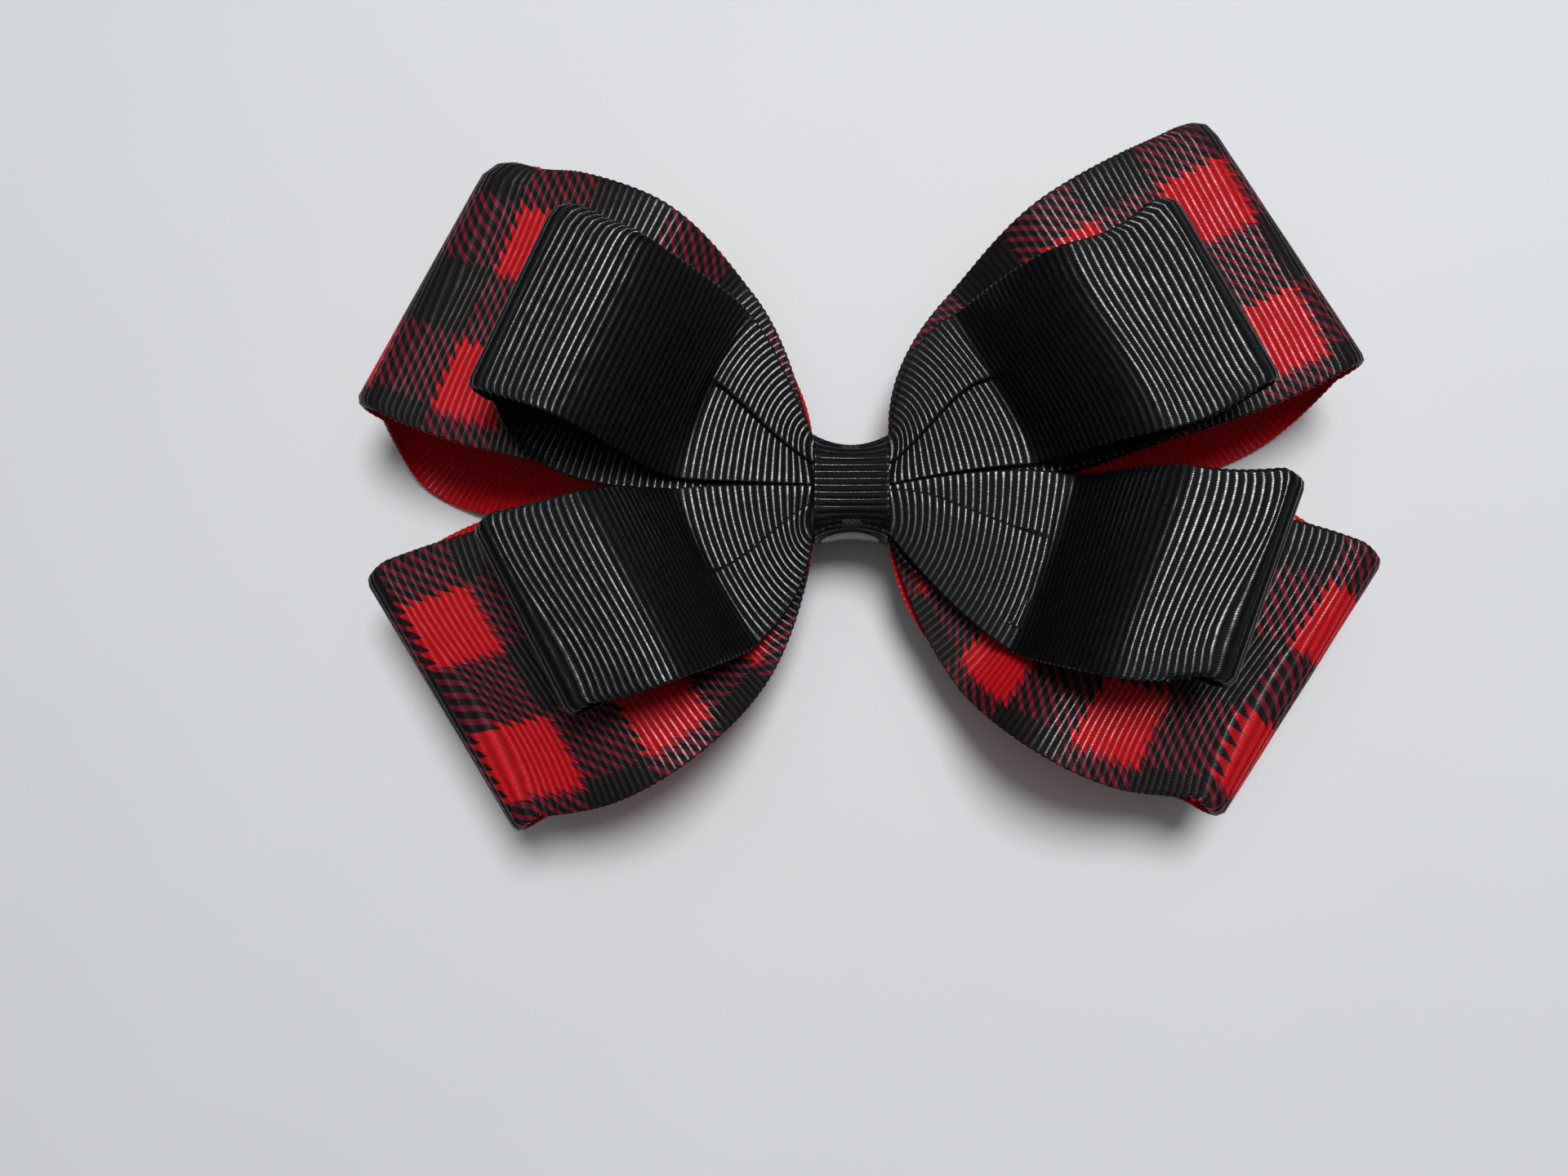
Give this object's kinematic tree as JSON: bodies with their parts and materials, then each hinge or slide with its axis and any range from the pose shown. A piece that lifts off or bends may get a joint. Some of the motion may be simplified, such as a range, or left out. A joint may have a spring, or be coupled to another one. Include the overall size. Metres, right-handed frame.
{
  "type": "hair bow",
  "caption": "Layered grosgrain hair bow with buffalo plaid outer loops, black inner loops and a black centre wrap on a sprung alligator clip.",
  "frame": {"origin": "middle of the bow's outline, on the surface that it lies on, face up", "axes": "+X towards the right loops, along the clip and its jaw tip; +Y towards the upper loops; +Z out of the bow's face"},
  "size_m": [0.1314, 0.0934, 0.03],
  "materials": {
    "plaid_ribbon": "printed grosgrain, matt",
    "black_ribbon": "grosgrain, slight sheen on the ribs",
    "thread": "matt",
    "glue": "clear, semi-gloss",
    "clip_steel": "nickel plated",
    "spring_steel": "bright wire"
  },
  "bodies": {
    "bow": {"plaid_upper_left_loop": "plaid_ribbon", "plaid_upper_right_loop": "plaid_ribbon", "plaid_lower_left_loop": "plaid_ribbon", "plaid_lower_right_loop": "plaid_ribbon", "black_upper_left_loop": "black_ribbon", "black_upper_right_loop": "black_ribbon", "black_lower_left_loop": "black_ribbon", "black_lower_right_loop": "black_ribbon", "plaid_thread_tie": "thread", "black_thread_tie": "thread", "center_wrap": "black_ribbon", "wrap_glue_bead": "glue", "clip_glue_left": "glue", "clip_glue_right": "glue", "layer_glue_left": "glue", "layer_glue_right": "glue", "clip_upper_arm": "clip_steel", "clip_pin": "clip_steel", "clip_spring": "spring_steel"},
    "lower_jaw": {"clip_lower_arm": "clip_steel"}
  },
  "joints": [
    {"name": "clip_jaw", "type": "hinge", "parent": "bow", "child": "lower_jaw", "pos_m": [-0.00928, -0.00258, 0.0042], "axis": [0, 1, 0], "range_deg": [0, 24], "stiffness_Nm_per_rad": 0.08, "springref_deg": -34.38, "deforming": ["clip_spring"]}
  ]
}
